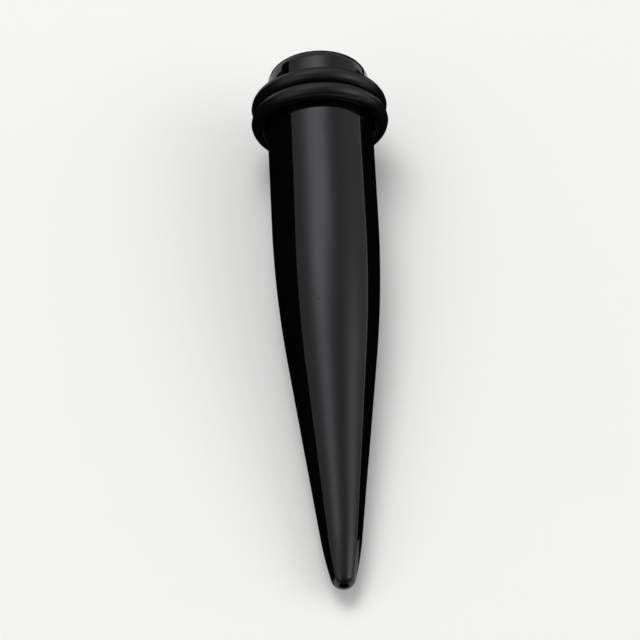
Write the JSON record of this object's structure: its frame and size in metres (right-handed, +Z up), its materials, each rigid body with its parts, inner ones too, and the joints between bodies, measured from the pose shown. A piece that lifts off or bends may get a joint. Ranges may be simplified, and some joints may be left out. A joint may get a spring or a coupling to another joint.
{
  "type": "ear stretching taper",
  "caption": "Straight pointed taper with a full-gauge wearing section, a rounded head and O-rings that hold it in a stretched ear lobe.",
  "frame": {"origin": "on the surface that the part lies on, under the middle of its bounding box", "axes": "+Z up from that surface; -Y the way the tip points, seen from above, with the axis 5.2 degrees tip down; +X to the right of someone looking from the tip to the head"},
  "size_m": [0.013, 0.0547, 0.013],
  "materials": {
    "acrylic": "black, polished to a high gloss",
    "rubber": "black, moulded, satin matte"
  },
  "bodies": {
    "root": {"taper": "acrylic", "o_ring_head": "rubber", "o_ring_tip": "rubber"}
  },
  "joints": []
}
